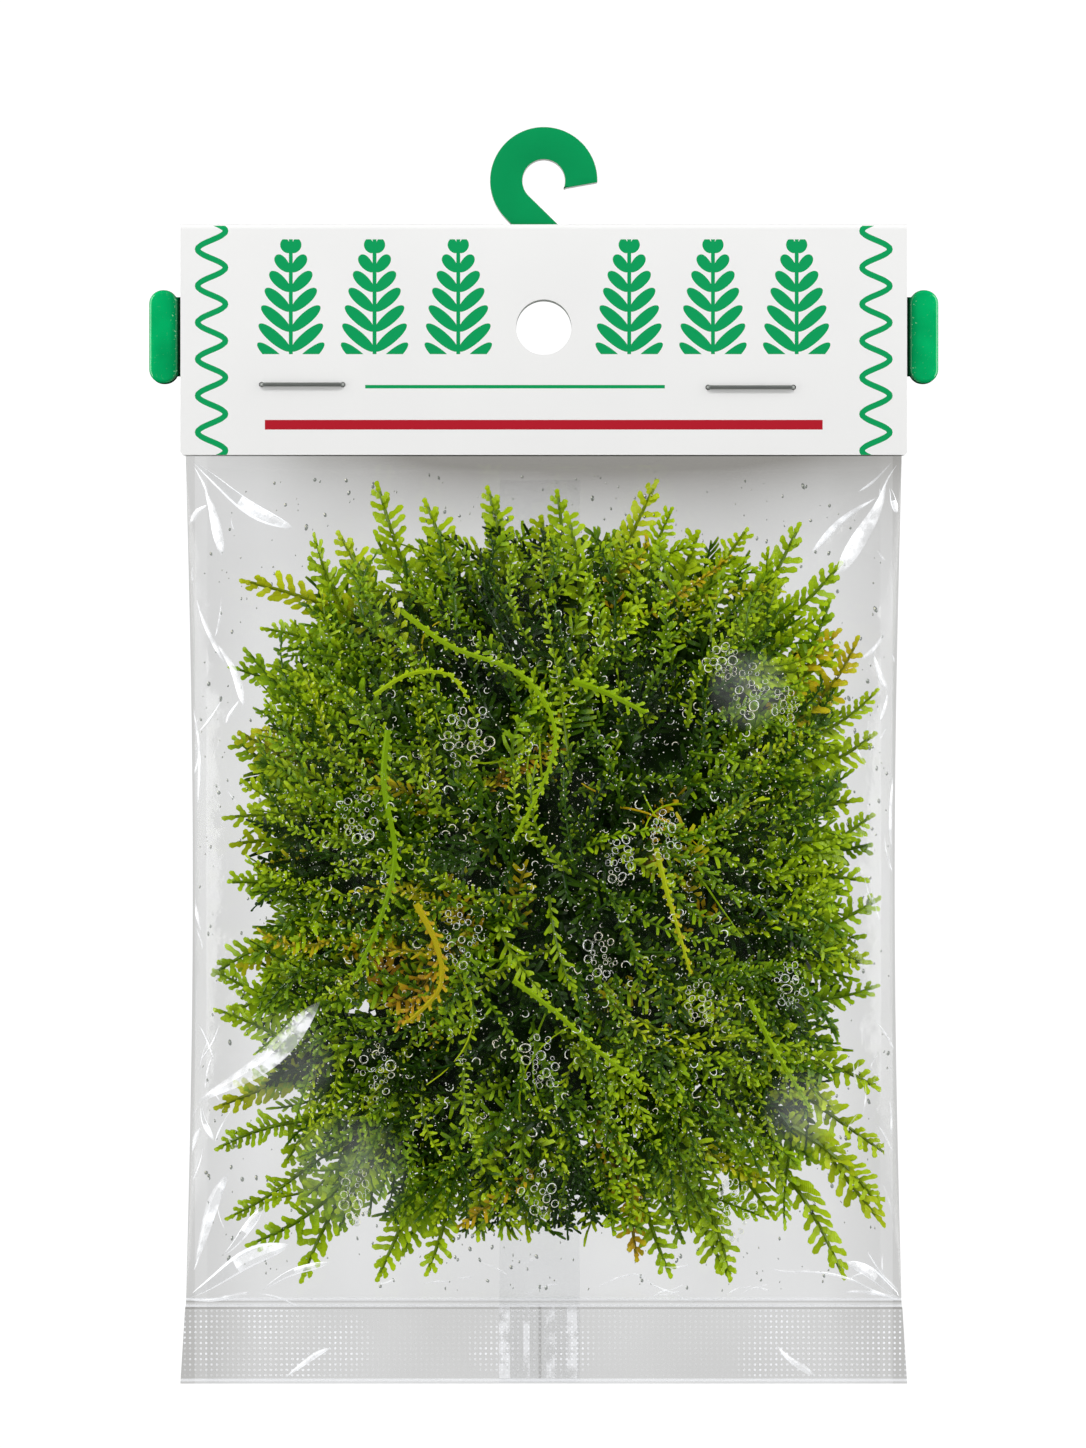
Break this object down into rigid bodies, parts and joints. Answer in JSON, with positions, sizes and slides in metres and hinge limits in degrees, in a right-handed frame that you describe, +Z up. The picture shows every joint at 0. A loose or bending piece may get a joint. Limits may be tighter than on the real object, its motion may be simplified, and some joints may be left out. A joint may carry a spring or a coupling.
{
  "type": "christmas moss retail pack",
  "caption": "Tangled pad of leafy christmas moss in a clear film bag, stapled into a folded card header with a hook and side clips.",
  "frame": {"origin": "where a peg bears under the hook's arch, halfway through the hook board", "axes": "+Z up the hanging pack, front of the pack faces -Y, +X to the right as seen from the front"},
  "size_m": [0.1142, 0.0215, 0.182],
  "materials": {
    "card": "smooth coated card with printed side waves and rules",
    "hook": "satin green board with a pale core",
    "clip": "glossy moulded plastic",
    "staple": "bright wire",
    "film": "clear creased film",
    "moss": "moist leaves",
    "stem": "moist leafy stems"
  },
  "bodies": {
    "root": {"header_card": "card", "hook_board": "hook", "side_clip_left": "clip", "side_clip_right": "clip", "staple_left": "staple", "staple_right": "staple", "film_bag": "film", "moss_tangle": "moss", "stem_arch": "stem", "stem_bow": "stem", "stem_left": "stem", "stem_gold": "stem", "stem_slant": "stem", "stem_right": "stem", "stem_short": "stem", "stem_brown": "stem", "stem_back_left": "stem", "stem_back_middle": "stem", "stem_back_low": "stem", "stem_back_right": "stem"}
  },
  "joints": []
}
